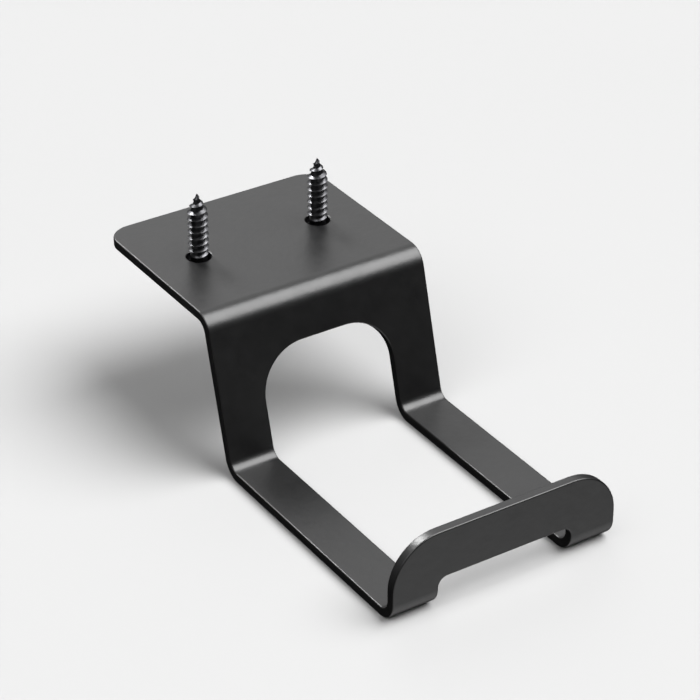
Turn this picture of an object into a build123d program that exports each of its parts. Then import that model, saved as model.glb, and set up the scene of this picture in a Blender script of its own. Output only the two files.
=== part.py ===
from build123d import *
import math
import os

# Headphone hook for the underside of a desk top: one bent sheet-steel plate and its two fixing screws.
# Millimetres, +Z up. X runs across the hook, which is the same on both sides of X = 0, and the arms
# reach out towards -Y. The origin is halfway between the screws, on the flange's top face, which meets
# the desk top.

# The sheet and its bends
sheet = 2.0
hook_width = 50.0
inner_bend_radius = 2.5
edge_round = 0.3              # edges without burrs, rounded further by the powder coat

# Lengths along the middle of the sheet, from one sharp corner to the next
flange_length = 40.0          # back edge to the first bend
drop_length = 31.5            # first bend to the second
arm_reach = 56.5              # second bend to the third
lip_height = 16.0             # third bend to the lip's top edge
drop_lean = 15.0              # degrees by which the drop leans outwards on its way down
flange_corner_radius = 5.0
lip_corner_radius = 10.0

# The window, which runs from the drop through the second and third bends into the lip
arm_width = 10.0
window_start = 9.5            # first bend to the window's top edge
window_end = 5.7              # third bend to the window's edge in the lip
window_top_radius = 10.0
window_lip_radius = 2.0
cutter_thickness = 3 * sheet  # stands out of both faces of the sheet

# Screw holes in the flange
screw_spacing = 28.0
screw_setback = 21.0          # first bend to the line of the screws
hole_radius = 2.5

# Pan-head tapping screw, 4.2 x 16, with a cross recess
thread_radius = 2.1
neck_radius = 1.7             # plain neck between the head and the thread
neck_length = 2.3
screw_length = 16.0           # bearing face to tip
tip_length = 3.7
tip_radius = 0.25
head_radius = 4.0
head_height = 3.0
head_shoulder = 2.8           # where the crown would meet the head's side if the edge were sharp
head_edge_radius = 1.7
recess_width = 1.15
recess_span = 4.4
recess_floor_span = 1.7
recess_depth = 2.4
recess_turn = 20.0            # degrees, and the other way on the other screw


def along(start, angle, distance):
    """The (Y, Z) point at a distance from start, at an angle in degrees from +Y towards +Z."""
    direction = math.radians(angle)
    return (start[0] + distance * math.cos(direction), start[1] + distance * math.sin(direction))


def strip(points, width, thickness, lip_end_radius, flange_end_radius):
    """A bent strip whose middle line runs through points (Y, Z), with rounded corners at both ends."""
    middle_line = FilletPolyline(*points, radius=inner_bend_radius + sheet / 2)
    solid = extrude(Plane.YZ * trace(middle_line, line_width=thickness), width / 2, both=True)
    for end, radius in ((0, lip_end_radius), (-1, flange_end_radius)):
        straight_edges = solid.edges().filter_by(GeomType.LINE)
        through_edges = straight_edges.filter_by(lambda edge: math.isclose(edge.length, thickness))
        solid = fillet(through_edges.group_by(Axis.Y)[end], radius)
    return solid


def hook_plate():
    """Flange, drop, arms and lip in one sheet, with the window and the screw holes cut out of it."""
    first_bend = (-screw_setback, -sheet / 2)
    back_edge = along(first_bend, 0, flange_length)
    down_the_drop = 270 - drop_lean
    second_bend = along(first_bend, down_the_drop, drop_length)
    third_bend = along(second_bend, 180, arm_reach)
    lip_top = along(third_bend, 90, lip_height)
    window_top = along(first_bend, down_the_drop, window_start)
    window_lip = along(third_bend, 90, window_end)

    plate = strip(
        (back_edge, first_bend, second_bend, third_bend, lip_top),
        hook_width, sheet, lip_corner_radius, flange_corner_radius,
    )
    window = strip(
        (window_top, second_bend, third_bend, window_lip),
        hook_width - 2 * arm_width, cutter_thickness, window_lip_radius, window_top_radius,
    )
    holes = [
        Pos(side * screw_spacing / 2, 0, -sheet / 2) * Cylinder(hole_radius, cutter_thickness)
        for side in (-1, 1)
    ]
    plate = plate - window - holes
    return fillet(plate.edges(), edge_round)


def screw(turn):
    """A pan-head tapping screw on the Z axis, pointing up, with its bearing face at Z = 0."""
    crown = FilletPolyline(
        (0, -head_height), (head_radius, -head_shoulder), (head_radius, 0), radius=head_edge_radius
    )
    thread_start = neck_length + neck_radius - thread_radius
    shank = Polyline(
        (head_radius, 0), (neck_radius, 0), (neck_radius, thread_start), (thread_radius, neck_length),
        (thread_radius, screw_length - tip_length), (tip_radius, screw_length), (0, screw_length),
        (0, -head_height),
    )
    body = revolve(Plane.XZ * make_face(crown + shank), Axis.Z)
    half_span = recess_span / 2
    half_floor = recess_floor_span / 2
    floor_height = recess_depth - head_height
    slot = Polyline(
        (-half_span, -head_height), (half_span, -head_height),
        (half_floor, floor_height), (-half_floor, floor_height), close=True,
    )
    blade = extrude(Plane.XZ * make_face(slot), recess_width / 2, both=True)
    for blade_turn in (turn, turn + 90):
        body -= Rot(0, 0, blade_turn) * blade
    return body


os.makedirs("parts", exist_ok=True)
export_step(hook_plate(), "parts/hook_plate.step")
for node, side in (("screw_left", -1), ("screw_right", 1)):
    placed = Pos(side * screw_spacing / 2, 0, -sheet) * screw(side * recess_turn)
    export_step(placed, f"parts/{node}.step")
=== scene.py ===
import math

import bmesh
import bpy
from mathutils import Matrix, Vector
from mathutils.geometry import delaunay_2d_cdt


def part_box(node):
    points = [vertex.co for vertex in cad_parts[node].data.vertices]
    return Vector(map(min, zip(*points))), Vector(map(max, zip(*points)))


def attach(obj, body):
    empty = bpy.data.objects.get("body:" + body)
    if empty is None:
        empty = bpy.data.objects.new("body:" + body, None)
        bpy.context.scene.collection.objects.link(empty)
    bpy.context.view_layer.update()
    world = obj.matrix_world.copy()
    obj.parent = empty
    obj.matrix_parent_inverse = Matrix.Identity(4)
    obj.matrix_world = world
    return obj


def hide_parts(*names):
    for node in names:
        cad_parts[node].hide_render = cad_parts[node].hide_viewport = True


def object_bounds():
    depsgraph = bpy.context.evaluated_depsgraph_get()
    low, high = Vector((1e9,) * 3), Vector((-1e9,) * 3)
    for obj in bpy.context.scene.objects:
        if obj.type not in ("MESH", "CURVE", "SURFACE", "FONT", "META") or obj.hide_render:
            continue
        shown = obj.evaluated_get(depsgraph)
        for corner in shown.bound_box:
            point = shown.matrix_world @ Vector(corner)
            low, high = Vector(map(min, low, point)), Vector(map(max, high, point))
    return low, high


# Headphone hook: a bent sheet-steel plate in black powder coat, and the two threaded screws that hold it.
# Metres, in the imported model's frame: X runs across the hook, -Y outwards along its arms, and +Z up into
# the desk top.

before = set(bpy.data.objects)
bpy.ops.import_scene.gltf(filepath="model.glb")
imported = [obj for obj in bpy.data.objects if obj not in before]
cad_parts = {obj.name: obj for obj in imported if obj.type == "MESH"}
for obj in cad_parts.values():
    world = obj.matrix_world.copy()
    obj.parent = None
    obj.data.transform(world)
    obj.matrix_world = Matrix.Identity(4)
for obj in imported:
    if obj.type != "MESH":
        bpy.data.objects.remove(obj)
cad_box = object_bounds()
plate_low, plate_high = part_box("hook_plate")

MM = 0.001

# The sheet, with its lengths along its middle from one sharp corner to the next
SHEET = 2.0 * MM
BEND_RADIUS = 3.5 * MM
EDGE_ROUND = 0.3 * MM
FLANGE_LENGTH = 40.0 * MM
DROP_LENGTH = 31.5 * MM
ARM_REACH = 56.5 * MM
LIP_HEIGHT = 16.0 * MM
DROP_TURN = math.radians(75)
LIP_TURN = math.radians(90)
FLANGE_CORNER_RADIUS = 5.0 * MM
LIP_CORNER_RADIUS = 10.0 * MM
ARM_WIDTH = 10.0 * MM
WINDOW_START = 9.5 * MM
WINDOW_END = 5.7 * MM
WINDOW_TOP_RADIUS = 10.0 * MM
WINDOW_LIP_RADIUS = 2.0 * MM
HOLE_RADIUS = 2.5 * MM

# The screws' heads and necks
HEAD_EDGE_RADIUS = 1.7 * MM
HEAD_EDGE_START = math.radians(8)     # the round edge is divided evenly from here to 90 degrees
CROWN_DROP = 0.14 * MM
UNDER_HEAD_ROUND = 0.12 * MM
NECK_RADIUS = 1.7 * MM
NECK_FILLET = 0.15 * MM
NECK_LENGTH = 2.3 * MM
NECK_LAST_RING = 0.5 * MM             # before the neck's end

# The cross recesses, and the cutter that makes them
RECESS_SPAN = 4.4 * MM
RECESS_FLOOR_SPAN = 1.7 * MM
RECESS_WIDTH = 1.15 * MM
RECESS_DEPTH = 2.4 * MM
RECESS_TURN = math.radians(20)
RECESS_WALL_SHARE = 0.8               # of the depth; the rest is a blunt point
CUTTER_START = 0.5 * MM               # outside the crown
CUTTER_OVERREACH = 0.25 * MM          # of each arm, past the recess's span
CUTTER_FLARE = 0.03 * MM              # at the start, on each side of an arm
CUTTER_TAPER = 0.12 * MM              # at the floor, on each side of an arm
ARM_END_LENGTH = 0.5                  # of an arm's narrowed end, as a share of the arm's half width
ARM_END_WIDTH = 0.45                  # of an arm's narrowed end, as a share of the arm's width

# The threads
THREAD_RADIUS = 2.1 * MM
CORE_RADIUS = 1.45 * MM
PITCH = 1.4 * MM
# The thread over one turn of its helix: (share of the pitch, share of the thread's depth)
THREAD_PROFILE = ((0, 0), (0.24, 0), (0.48, 1), (0.52, 1), (0.76, 0))
ROWS_PER_TURN = len(THREAD_PROFILE)
RUN_IN = 0.6 * PITCH                  # over which the thread rises out of the neck
TIP_LENGTH = 3.7 * MM
TIP_RADIUS = 0.12 * MM
TIP_FADE = 0.8                        # power by which the thread's depth falls along the tip

# How finely curved surfaces are divided
BEND_STEP = math.radians(3)
FLAT_STEP = 2.0 * MM
EDGE_CLEARANCE = FLAT_STEP / 3        # between an outline's own points and the grid's
CORNER_STEP = math.radians(6)
ROUNDING_STEPS = 5
CROWN_STEPS = 6
HEAD_EDGE_STEPS = 9
SCREW_POINTS = 48
SHARP_ANGLE = math.radians(32)        # faces that meet at more than this have a sharp edge between them

# Distances that count as none, in metres
SAME_POINT = 1e-7
SAME_ROW = 1e-6
NO_SIZE = 1e-8
TRIANGULATION_ERROR = 1e-9


# ---- The flat sheet and its folds ----

def fold_spans():
    """The sheet's straight runs and bends from the flange's back edge to the lip's top: (length, turn)."""
    runs = ((FLANGE_LENGTH, DROP_TURN), (DROP_LENGTH, -DROP_TURN), (ARM_REACH, -LIP_TURN), (LIP_HEIGHT, 0))
    spans = []
    last_tangent = 0
    for length, turn in runs:
        tangent = BEND_RADIUS * math.tan(abs(turn) / 2)
        spans.append((length - last_tangent - tangent, 0))
        if turn:
            spans.append((BEND_RADIUS * abs(turn), turn))
        last_tangent = tangent
    return spans


SPANS = fold_spans()
SPAN_STARTS = [sum(length for length, _ in SPANS[:number]) for number in range(len(SPANS) + 1)]
DROP_SPAN, LIP_SPAN = 2, 6


def folded(s):
    """The middle of the folded sheet at a distance s along it: (y, z, heading of s in the YZ plane)."""
    y, z, heading = plate_high.y, plate_high.z - SHEET / 2, math.pi
    for start, (length, turn) in zip(SPAN_STARTS, SPANS):
        done = min(max(s - start, 0), length)
        if turn:
            curvature = turn / length
            after = heading + curvature * done
            y += (math.sin(after) - math.sin(heading)) / curvature
            z += (math.cos(heading) - math.cos(after)) / curvature
            heading = after
        else:
            y += math.cos(heading) * done
            z += math.sin(heading) * done
    return y, z, heading


def on_sheet(x, s, height):
    """The point at a height above the sheet's middle, on the side that is the flange's top."""
    y, z, heading = folded(s)
    return Vector((x, y + height * math.sin(heading), z - height * math.cos(heading)))


def turned(s, across, onward, up):
    """A direction in the flat sheet, turned the way the folded sheet faces at s."""
    heading = folded(s)[2]
    sine, cosine = math.sin(heading), math.cos(heading)
    return Vector((across, onward * cosine + up * sine, onward * sine - up * cosine))


def sheet_rows():
    """Distances along the sheet at which the mesh has rows: close together in the bends."""
    rows = []
    for start, (length, turn) in zip(SPAN_STARTS, SPANS):
        count = round(abs(turn) / BEND_STEP) if turn else math.ceil(length / FLAT_STEP)
        rows += [start + length * number / count for number in range(count)]
    return rows + [SPAN_STARTS[-1]]


def sheet_columns():
    """Distances across the sheet at which the mesh has columns."""
    half_width = plate_high.x
    count = round(2 * half_width / FLAT_STEP)
    return [half_width * (2 * number / count - 1) for number in range(count + 1)]


def between(start, end, values):
    """The values between two ends, in order from start to end."""
    low, high = min(start, end) + SAME_ROW, max(start, end) - SAME_ROW
    return sorted((value for value in values if low < value < high), reverse=end < start)


class Outline:
    """A rectangle with rounded corners in the flat sheet, from start to end along it, centred at x."""

    def __init__(self, x, half_width, start, end, start_radius, end_radius):
        self.x, self.half_width = x, half_width
        self.start, self.end = start, end
        self.start_radius, self.end_radius = start_radius, end_radius

    def reach(self, x, s):
        """How far outside the outline a point is, or inside it if negative."""
        middle = (self.start + self.end) / 2
        radius = self.start_radius if s < middle else self.end_radius
        across = abs(x - self.x) - self.half_width + radius
        onward = abs(s - middle) - (self.end - self.start) / 2 + radius
        return math.hypot(max(across, 0), max(onward, 0)) + min(max(across, onward), 0) - radius

    def points(self, rows, columns):
        """Points round the outline and the outward normal at each, as (x, s)."""
        right = self.half_width
        corners = (
            (right - self.start_radius, self.start + self.start_radius, self.start_radius, -math.pi / 2),
            (right - self.end_radius, self.end - self.end_radius, self.end_radius, 0),
            (self.end_radius - right, self.end - self.end_radius, self.end_radius, math.pi / 2),
            (self.start_radius - right, self.start + self.start_radius, self.start_radius, math.pi),
        )
        found = []
        for number, (across, onward, radius, first) in enumerate(corners):
            steps = round(math.pi / 2 / CORNER_STEP)
            for step in range(steps + 1):
                angle = first + math.pi / 2 * step / steps
                normal = (math.cos(angle), math.sin(angle))
                found.append(((self.x + across + radius * normal[0], onward + radius * normal[1]), normal))
            next_across, next_onward = corners[(number + 1) % 4][:2]
            found += self.side(found[-1], next_across, next_onward, rows, columns)
        before = [found[-1]] + found
        return [item for last, item in zip(before, found) if math.dist(last[0], item[0]) > SAME_POINT]

    def side(self, last, next_across, next_onward, rows, columns):
        """The points of a straight side, after the corner that ends with last."""
        (x, s), normal = last
        normal = (round(normal[0]), round(normal[1]))
        if normal[0]:
            return [((x, row), normal) for row in between(s, next_onward, rows)]
        return [((column, s), normal) for column in between(x, self.x + next_across, columns)]


def plate_outlines():
    """The sheet's own outline, then the openings cut in it: the window and the screws' holes."""
    half_width = plate_high.x
    bend_tangent = BEND_RADIUS * math.tan(DROP_TURN / 2)
    window_start = SPAN_STARTS[DROP_SPAN] + WINDOW_START - bend_tangent
    window_end = SPAN_STARTS[LIP_SPAN] + WINDOW_END - BEND_RADIUS
    whole = Outline(0, half_width, 0, SPAN_STARTS[-1], FLANGE_CORNER_RADIUS, LIP_CORNER_RADIUS)
    window_half = half_width - ARM_WIDTH
    openings = [Outline(0, window_half, window_start, window_end, WINDOW_TOP_RADIUS, WINDOW_LIP_RADIUS)]
    for node in ("screw_left", "screw_right"):
        low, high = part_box(node)
        x, s = (low.x + high.x) / 2, plate_high.y - (low.y + high.y) / 2
        openings.append(Outline(x, HOLE_RADIUS, s - HOLE_RADIUS, s + HOLE_RADIUS, HOLE_RADIUS, HOLE_RADIUS))
    return whole, openings


def rounding_profile():
    """The sheet's rounded edge from its top face round to its bottom face: (inset, height, angle)."""
    profile = []
    for side in (1, -1):
        for step in range(ROUNDING_STEPS + 1):
            angle = math.pi / 2 * step / ROUNDING_STEPS
            inset = EDGE_ROUND * (1 - math.sin(angle))
            height = SHEET / 2 - EDGE_ROUND * (1 - math.cos(angle))
            profile.append((inset, height * side, angle if side > 0 else math.pi - angle))
    half = ROUNDING_STEPS + 1
    return profile[:half] + profile[half:][::-1]


def sheet_triangles(whole, openings, loops, rows, columns):
    """The flat sheet's vertices (x, s) and triangles. The loops' own points come first, in their order."""
    points = [Vector(point) for loop in loops for point in loop]
    edges = []
    first = 0
    for loop in loops:
        edges += [(first + n, first + (n + 1) % len(loop)) for n in range(len(loop))]
        first += len(loop)
    margin = EDGE_ROUND + EDGE_CLEARANCE
    for s in rows:
        for x in columns:
            if whole.reach(x, s) < -margin and all(o.reach(x, s) > margin for o in openings):
                points.append(Vector((x, s)))
    found = delaunay_2d_cdt(points, edges, [], 0, TRIANGULATION_ERROR)
    vertices, triangles, sources = found[0], found[2], found[3]
    assert len(vertices) == len(points), "two points of the sheet's mesh fell together"
    new_number = [source[0] for source in sources]
    kept = []
    for triangle in triangles:
        x = sum(vertices[v].x for v in triangle) / 3
        s = sum(vertices[v].y for v in triangle) / 3
        if all(o.reach(x, s) > EDGE_ROUND for o in openings):
            kept.append([new_number[v] for v in triangle])
    return points, kept


def mesh_piece(name, vertices, faces, material):
    """A new object from vertices and faces, with its faces turned outwards."""
    mesh = bpy.data.meshes.new(name)
    mesh.from_pydata(vertices, [], faces)
    shaped = bmesh.new()
    shaped.from_mesh(mesh)
    bmesh.ops.recalc_face_normals(shaped, faces=shaped.faces)
    shaped.to_mesh(mesh)
    shaped.free()
    mesh.polygons.foreach_set("use_smooth", [True] * len(mesh.polygons))
    mesh.materials.append(material)
    piece = bpy.data.objects.new(name, mesh)
    bpy.context.scene.collection.objects.link(piece)
    return piece


def band(ring, next_ring):
    """The quads between two closed rings of vertex numbers."""
    count = len(ring)
    return [
        (ring[n], ring[(n + 1) % count], next_ring[(n + 1) % count], next_ring[n])
        for n in range(count)
    ]


def fan(ring, centre):
    """The triangles between a closed ring of vertex numbers and one more vertex."""
    count = len(ring)
    return [(ring[n], ring[(n + 1) % count], centre) for n in range(count)]


def add_rounded_edge(outline, top_ring, bottom_ring, vertices, normals, faces):
    """Adds the sheet's rounded edge round one outline, between the rings where its two faces end."""
    ring = top_ring
    for inset, height, angle in rounding_profile()[1:-1]:
        out, up = math.sin(angle), math.cos(angle)
        next_ring = list(range(len(vertices), len(vertices) + len(outline)))
        for (x, s), (nx, ns) in outline:
            vertices.append(on_sheet(x - nx * inset, s - ns * inset, height))
            normals.append(turned(s - ns * inset, nx * out, ns * out, up))
        faces += band(ring, next_ring)
        ring = next_ring
    faces += band(ring, bottom_ring)


def bent_plate(material):
    """The folded plate: two faces that follow the bends, joined by a rounded edge round every outline."""
    rows, columns = sheet_rows(), sheet_columns()
    whole, openings = plate_outlines()
    outlines = [whole.points(rows, columns)]
    for opening in openings:
        outlines.append([(point, (-nx, -ns)) for point, (nx, ns) in opening.points(rows, columns)])
    loops = []
    for outline in outlines:
        loops.append([(x - nx * EDGE_ROUND, s - ns * EDGE_ROUND) for (x, s), (nx, ns) in outline])
    flat_points, triangles = sheet_triangles(whole, openings, loops, rows, columns)

    count = len(flat_points)
    vertices = [on_sheet(x, s, SHEET / 2) for x, s in flat_points]
    vertices += [on_sheet(x, s, -SHEET / 2) for x, s in flat_points]
    normals = [turned(s, 0, 0, 1) for _, s in flat_points]
    normals += [turned(s, 0, 0, -1) for _, s in flat_points]
    faces = list(triangles) + [[v + count for v in reversed(triangle)] for triangle in triangles]

    first = 0
    for outline in outlines:
        top_ring = list(range(first, first + len(outline)))
        bottom_ring = [v + count for v in top_ring]
        add_rounded_edge(outline, top_ring, bottom_ring, vertices, normals, faces)
        first += len(outline)

    plate = mesh_piece("bent_plate", vertices, faces, material)
    plate.data.normals_split_custom_set_from_vertices(normals)
    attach(plate, "root")
    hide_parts("hook_plate")
    return plate


# ---- The screws ----

def head_profile(head_radius, head_height):
    """The head and neck, from the crown's centre to the thread: (radius, height over the bearing face)."""
    crown_radius = head_radius - HEAD_EDGE_RADIUS
    profile = []
    for step in range(1, CROWN_STEPS + 1):
        share = step / CROWN_STEPS
        profile.append((crown_radius * share, -head_height + CROWN_DROP * share ** 2))
    shoulder = -head_height + CROWN_DROP + HEAD_EDGE_RADIUS
    for step in range(1, HEAD_EDGE_STEPS + 1):
        angle = HEAD_EDGE_START + (math.pi / 2 - HEAD_EDGE_START) * step / HEAD_EDGE_STEPS
        out, down = math.sin(angle), math.cos(angle)
        profile.append((crown_radius + HEAD_EDGE_RADIUS * out, shoulder - HEAD_EDGE_RADIUS * down))
    return profile + [
        (head_radius, -UNDER_HEAD_ROUND),
        (head_radius - UNDER_HEAD_ROUND, 0),
        (NECK_RADIUS + NECK_FILLET, 0),
        (NECK_RADIUS, NECK_FILLET),
        (NECK_RADIUS, NECK_LENGTH - NECK_LAST_RING),
        (NECK_RADIUS, NECK_LENGTH),
    ]


def thread_point(row, step, end):
    """A point on the thread, as (radius, height). Rows climb with the helix and stop at both its ends."""
    phase, depth = THREAD_PROFILE[row % ROWS_PER_TURN]
    height = NECK_LENGTH + PITCH * (row // ROWS_PER_TURN - 1 + phase + step / SCREW_POINTS)
    height = min(max(height, NECK_LENGTH), end)
    run_in = min((height - NECK_LENGTH) / RUN_IN, 1)
    to_tip = min((end - height) / TIP_LENGTH, 1)
    core = NECK_RADIUS + (CORE_RADIUS - NECK_RADIUS) * run_in
    core_here = TIP_RADIUS + (core - TIP_RADIUS) * to_tip
    depth_here = (THREAD_RADIUS - CORE_RADIUS) * depth * run_in * to_tip ** TIP_FADE
    return core_here + depth_here, height


def around(radius, height, step):
    """One of a screw's points, at a step of the way round its axis, which is on Z."""
    angle = 2 * math.pi * step / SCREW_POINTS
    return Vector((radius * math.cos(angle), radius * math.sin(angle), height))


def screw_head(head_radius, head_height):
    """The vertices and faces of a screw's head, which is below Z = 0, and of its neck, above it."""
    vertices, rings = [Vector((0, 0, -head_height))], []
    for radius, height in head_profile(head_radius, head_height):
        rings.append(list(range(len(vertices), len(vertices) + SCREW_POINTS)))
        vertices += [around(radius, height, step) for step in range(SCREW_POINTS)]
    faces = fan(rings[0], 0)
    for ring, next_ring in zip(rings, rings[1:]):
        faces += band(ring, next_ring)
    return vertices, faces


def add_thread(vertices, faces, end):
    """Adds the thread and its point, which ends at Z = end, to a screw's vertices and faces."""
    row_count = ROWS_PER_TURN * (math.ceil((end - NECK_LENGTH) / PITCH) + 2)
    first = len(vertices)
    for row in range(row_count):
        for step in range(SCREW_POINTS):
            vertices.append(around(*thread_point(row, step, end), step))

    def number(row, step):
        """A point's vertex number. After a turn's last step comes the same row's point one pitch on."""
        if step == SCREW_POINTS:
            row, step = row + ROWS_PER_TURN, 0
        return first + min(row, row_count - 1) * SCREW_POINTS + step

    for row in range(row_count - 1):
        for step in range(SCREW_POINTS):
            corners = ((row, step), (row, step + 1), (row + 1, step + 1), (row + 1, step))
            faces.append(tuple(number(*corner) for corner in corners))
    last_ring = [number(row_count - 1, step) for step in range(SCREW_POINTS)]
    faces += fan(last_ring, len(vertices))
    vertices.append(Vector((0, 0, end)))


def merge_close(mesh):
    """Joins vertices that lie together, and drops what has no size."""
    shaped = bmesh.new()
    shaped.from_mesh(mesh)
    bmesh.ops.remove_doubles(shaped, verts=shaped.verts, dist=SAME_POINT)
    bmesh.ops.dissolve_degenerate(shaped, edges=shaped.edges, dist=NO_SIZE)
    bmesh.ops.recalc_face_normals(shaped, faces=shaped.faces)
    shaped.to_mesh(mesh)
    shaped.free()


def recess_cutter(crown, turn, material):
    """A tapered cross that stands in a screw's head, up from its crown, and comes to a blunt point."""
    levels = (
        (-CUTTER_START, RECESS_SPAN / 2, RECESS_WIDTH / 2 + CUTTER_FLARE),
        (RECESS_DEPTH * RECESS_WALL_SHARE, RECESS_FLOOR_SPAN / 2, RECESS_WIDTH / 2 - CUTTER_TAPER),
    )
    vertices = []
    for height, half_span, half in levels:
        reach = half_span + CUTTER_OVERREACH
        narrowing, half_end = reach - half * ARM_END_LENGTH, half * ARM_END_WIDTH
        arm = ((half, -half), (narrowing, -half), (reach, -half_end), (reach, half_end), (narrowing, half))
        for quarter in range(4):
            turned_by = Matrix.Rotation(turn + quarter * math.pi / 2, 3, "Z")
            vertices += [crown + turned_by @ Vector((x, y, height)) for x, y in arm]
    count = len(vertices) // 2
    vertices.append(crown + Vector((0, 0, RECESS_DEPTH)))
    start_ring, floor_ring = list(range(count)), list(range(count, 2 * count))
    faces = [tuple(start_ring)] + band(start_ring, floor_ring) + fan(floor_ring, 2 * count)
    return mesh_piece("recess_cutter", vertices, faces, material)


def cut_recess(screw, crown, turn):
    """Cuts a cross recess up into a screw's head, from the middle of its crown."""
    cutter = recess_cutter(crown, turn, screw.data.materials[0])
    cut = screw.modifiers.new("recess", "BOOLEAN")
    cut.operation = "DIFFERENCE"
    cut.solver = "EXACT"
    cut.object = cutter
    bpy.context.view_layer.update()
    shown = screw.evaluated_get(bpy.context.evaluated_depsgraph_get())
    carved = bpy.data.meshes.new_from_object(shown)
    screw.modifiers.clear()
    screw.data = carved
    bpy.data.objects.remove(cutter)


def threaded_screw(piece_name, node, turn, material):
    """A screw in a CAD screw's place: domed head with a cross recess, neck, cut thread and point."""
    low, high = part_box(node)
    bearing = plate_high.z - SHEET
    centre = Vector(((low.x + high.x) / 2, (low.y + high.y) / 2, bearing))
    head_height = bearing - low.z
    vertices, faces = screw_head((high.x - low.x) / 2, head_height)
    add_thread(vertices, faces, high.z - bearing)
    screw = mesh_piece(piece_name, [centre + vertex for vertex in vertices], faces, material)
    merge_close(screw.data)
    cut_recess(screw, centre - Vector((0, 0, head_height)), turn)
    screw.data.set_sharp_from_angle(angle=SHARP_ANGLE)
    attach(screw, "root")
    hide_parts(node)
    return screw


# ---- Materials ----

class Shading:
    """A node material under construction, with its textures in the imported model's metres."""

    # How far from one half a noise value is when it gives one end of a range
    NOISE_SPREAD = 0.25

    def __init__(self, name):
        self.material = bpy.data.materials.new(name)
        self.material.use_nodes = True
        self.nodes = self.material.node_tree.nodes
        self.links = self.material.node_tree.links
        self.shader = self.nodes["Principled BSDF"]
        self.place = self.nodes.new("ShaderNodeTexCoord").outputs["Object"]

    def noise(self, size, detail=2.0, roughness=0.5):
        """A noise texture whose features are about size metres across."""
        noise = self.nodes.new("ShaderNodeTexNoise")
        noise.inputs["Scale"].default_value = 1 / size
        noise.inputs["Detail"].default_value = detail
        noise.inputs["Roughness"].default_value = roughness
        self.links.new(self.place, noise.inputs["Vector"])
        return noise.outputs["Fac"]

    def ranged(self, value, low, high):
        """A noise value stretched over a range, which it doesn't leave."""
        ranged = self.nodes.new("ShaderNodeMapRange")
        ranged.inputs["From Min"].default_value = 0.5 - self.NOISE_SPREAD
        ranged.inputs["From Max"].default_value = 0.5 + self.NOISE_SPREAD
        ranged.inputs["To Min"].default_value = low
        ranged.inputs["To Max"].default_value = high
        self.links.new(value, ranged.inputs["Value"])
        return ranged.outputs["Result"]

    def colour(self, value, dark, light):
        """Makes the surface's colour lie between two, by a noise value."""
        mix = self.nodes.new("ShaderNodeMix")
        mix.data_type = "RGBA"
        mix.inputs["A"].default_value = (*dark, 1)
        mix.inputs["B"].default_value = (*light, 1)
        self.links.new(self.ranged(value, 0, 1), mix.inputs["Factor"])
        self.links.new(mix.outputs["Result"], self.shader.inputs["Base Color"])

    def roughness(self, value, low, high):
        """Makes the surface's roughness lie between two, by a noise value."""
        self.links.new(self.ranged(value, low, high), self.shader.inputs["Roughness"])

    def bump(self, value, height, under=None):
        """Raises the surface by up to height metres where the value is high, on top of another bump."""
        bump = self.nodes.new("ShaderNodeBump")
        bump.inputs["Strength"].default_value = 1
        bump.inputs["Distance"].default_value = height
        self.links.new(value, bump.inputs["Height"])
        if under:
            self.links.new(under, bump.inputs["Normal"])
        self.links.new(bump.outputs["Normal"], self.shader.inputs["Normal"])
        return bump.outputs["Normal"]


def powder_coat():
    """Satin black powder coat: a slight orange peel under a fine grain."""
    made = Shading("black_powder_coat")
    made.shader.inputs["IOR"].default_value = 1.6
    mottle = made.noise(size=6 * MM, detail=3)
    made.colour(mottle, dark=(0.004, 0.004, 0.0042), light=(0.0062, 0.0062, 0.0064))
    made.roughness(made.noise(size=2.5 * MM, detail=4), low=0.33, high=0.39)
    peel = made.bump(made.noise(size=1.5 * MM, detail=1), height=0.03 * MM)
    made.bump(made.noise(size=0.25 * MM, detail=2, roughness=0.6), height=0.008 * MM, under=peel)
    return made.material


def black_zinc():
    """Black zinc plating on steel, with a little more shine where the plating is thin."""
    made = Shading("black_zinc_steel")
    made.shader.inputs["Metallic"].default_value = 1
    mottle = made.noise(size=0.8 * MM, detail=4)
    made.colour(mottle, dark=(0.055, 0.055, 0.06), light=(0.13, 0.13, 0.135))
    made.roughness(made.noise(size=0.5 * MM, detail=3), low=0.25, high=0.42)
    made.bump(made.noise(size=0.12 * MM, detail=2), height=0.002 * MM)
    return made.material


def studio_floor():
    """A plain pale floor, faintly uneven."""
    made = Shading("studio_floor")
    mottle = made.noise(size=200 * MM, detail=2)
    made.colour(mottle, dark=(0.475, 0.475, 0.475), light=(0.485, 0.485, 0.485))
    made.shader.inputs["Roughness"].default_value = 0.7
    made.shader.inputs["Specular IOR Level"].default_value = 0.2
    return made.material


def studio_wall():
    """A pale wall with an even glow."""
    made = Shading("studio_wall")
    made.shader.inputs["Base Color"].default_value = (0, 0, 0, 1)
    made.shader.inputs["Specular IOR Level"].default_value = 0
    made.shader.inputs["Emission Color"].default_value = (1, 1, 1, 1)
    made.shader.inputs["Emission Strength"].default_value = WALL_BRIGHTNESS
    return made.material


# ---- The studio ----

CAMERA_AZIMUTH = math.radians(-32.9)
CAMERA_ELEVATION = math.radians(31.5)
CAMERA_DISTANCE = 522 * MM
CAMERA_LENS = 138
CAMERA_NEAREST = 10 * MM
FLOOR_RADIUS = 4.0
FLOOR_POINTS = 96
WALL_HEIGHT = 2.5
WALL_BRIGHTNESS = 0.87
# The dome's brightness goes by how near a direction is to its axis, which points low in front. Each pair is
# the cosine of the angle between the two, and the brightness there.
DOME_AXIS_ELEVATION = math.radians(-60)
DOME = ((-1, 0.3), (-0.7, 0.25), (-0.2, 0.06), (0.1, 0.01), (0.6, 0.01), (0.85, 0.85))
# Name, azimuth, elevation and width in degrees, and strength in watts per square metre
LIGHTS = (
    ("key", 60, 57, 52, 4.9),
    ("fill", -75, 50, 45, 1.1),
    ("rear", 150, 35, 37, 0.3),
)
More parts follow.
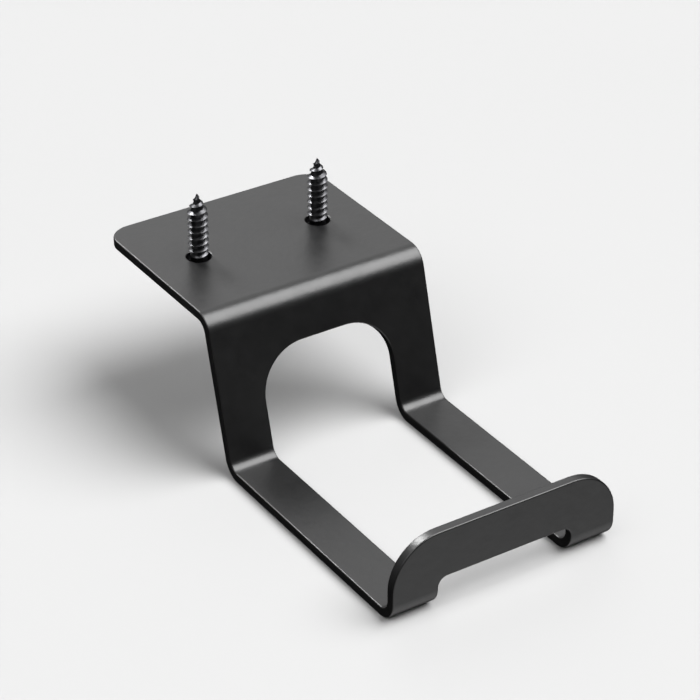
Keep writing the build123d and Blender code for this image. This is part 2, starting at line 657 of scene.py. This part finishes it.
# The light that shines on the hook alone
RIM_LIGHT = ("rim", -176, 44, 16, 2.4)


def direction(azimuth, elevation):
    """The direction at an azimuth, which is 0 in front, at -Y, and at an elevation, both in radians."""
    flat = math.cos(elevation)
    return Vector((math.sin(azimuth) * flat, -math.cos(azimuth) * flat, math.sin(elevation)))


def soft_light(name, azimuth, elevation, width, strength):
    """A light from far away, as wide in the sky as a large softbox close by. Its angles are in degrees."""
    light = bpy.data.lights.new(name, "SUN")
    light.angle = math.radians(width)
    light.energy = strength
    lamp = bpy.data.objects.new(name, light)
    towards = direction(math.radians(azimuth), math.radians(elevation))
    lamp.rotation_mode = "QUATERNION"
    lamp.rotation_quaternion = towards.to_track_quat("Z", "Y")
    bpy.context.scene.collection.objects.link(lamp)
    return lamp


def light_only(lamp, pieces):
    """Keeps a light to some pieces, so that it throws no bright patches on the floor."""
    lit = bpy.data.collections.new(lamp.name + "_lights")
    for piece in pieces:
        lit.objects.link(piece)
    lamp.light_linking.receiver_collection = lit


def stage(level):
    """A round floor at a level, which the hook doesn't mirror, and a glowing wall only the camera sees."""
    turns = [2 * math.pi * n / FLOOR_POINTS for n in range(FLOOR_POINTS)]
    foot = [(FLOOR_RADIUS * math.cos(turn), FLOOR_RADIUS * math.sin(turn), level) for turn in turns]
    top = [(x, y, z + WALL_HEIGHT) for x, y, z in foot]
    floor = mesh_piece("floor", foot, [tuple(range(FLOOR_POINTS))], studio_floor())
    foot_ring, top_ring = list(range(FLOOR_POINTS)), list(range(FLOOR_POINTS, 2 * FLOOR_POINTS))
    wall = mesh_piece("wall", foot + top, band(foot_ring, top_ring), studio_wall())
    wall.visible_diffuse = False
    wall.visible_shadow = False
    for piece in (floor, wall):
        piece.visible_glossy = False


def camera(aim):
    """The camera, at the angle and distance from which the hook is seen."""
    lens = bpy.data.cameras.new("camera")
    lens.lens = CAMERA_LENS
    lens.clip_start = CAMERA_NEAREST
    viewer = bpy.data.objects.new("camera", lens)
    towards = direction(CAMERA_AZIMUTH, CAMERA_ELEVATION)
    viewer.location = aim + towards * CAMERA_DISTANCE
    viewer.rotation_mode = "QUATERNION"
    viewer.rotation_quaternion = towards.to_track_quat("Z", "Y")
    bpy.context.scene.collection.objects.link(viewer)
    bpy.context.scene.camera = viewer


def surroundings():
    """A soft grey dome, with a glow from low in front and a fainter one from high behind."""
    world = bpy.data.worlds.new("studio")
    world.use_nodes = True
    nodes, links = world.node_tree.nodes, world.node_tree.links
    place = nodes.new("ShaderNodeTexCoord")
    towards_axis = nodes.new("ShaderNodeVectorMath")
    towards_axis.operation = "DOT_PRODUCT"
    towards_axis.inputs[1].default_value = direction(0, DOME_AXIS_ELEVATION)
    share = nodes.new("ShaderNodeMapRange")
    share.inputs["From Min"].default_value = -1
    brightness = nodes.new("ShaderNodeValToRGB")
    brightness.color_ramp.interpolation = "EASE"
    stops = brightness.color_ramp.elements
    while len(stops) < len(DOME):
        stops.new(1)
    for stop, (nearness, grey) in zip(stops, DOME):
        stop.position = (nearness + 1) / 2
        stop.color = (grey, grey, grey, 1)
    links.new(place.outputs["Generated"], towards_axis.inputs[0])
    links.new(towards_axis.outputs["Value"], share.inputs["Value"])
    links.new(share.outputs["Result"], brightness.inputs["Fac"])
    links.new(brightness.outputs["Color"], nodes["Background"].inputs["Color"])
    bpy.context.scene.world = world


zinc = black_zinc()
hook = (
    bent_plate(powder_coat()),
    threaded_screw("left_screw_threaded", "screw_left", -RECESS_TURN, zinc),
    threaded_screw("right_screw_threaded", "screw_right", RECESS_TURN, zinc),
)

camera((cad_box[0] + cad_box[1]) / 2)
stage(plate_low.z)
surroundings()
for values in LIGHTS:
    soft_light(*values)
light_only(soft_light(*RIM_LIGHT), hook)
bpy.context.scene.view_settings.view_transform = "Standard"
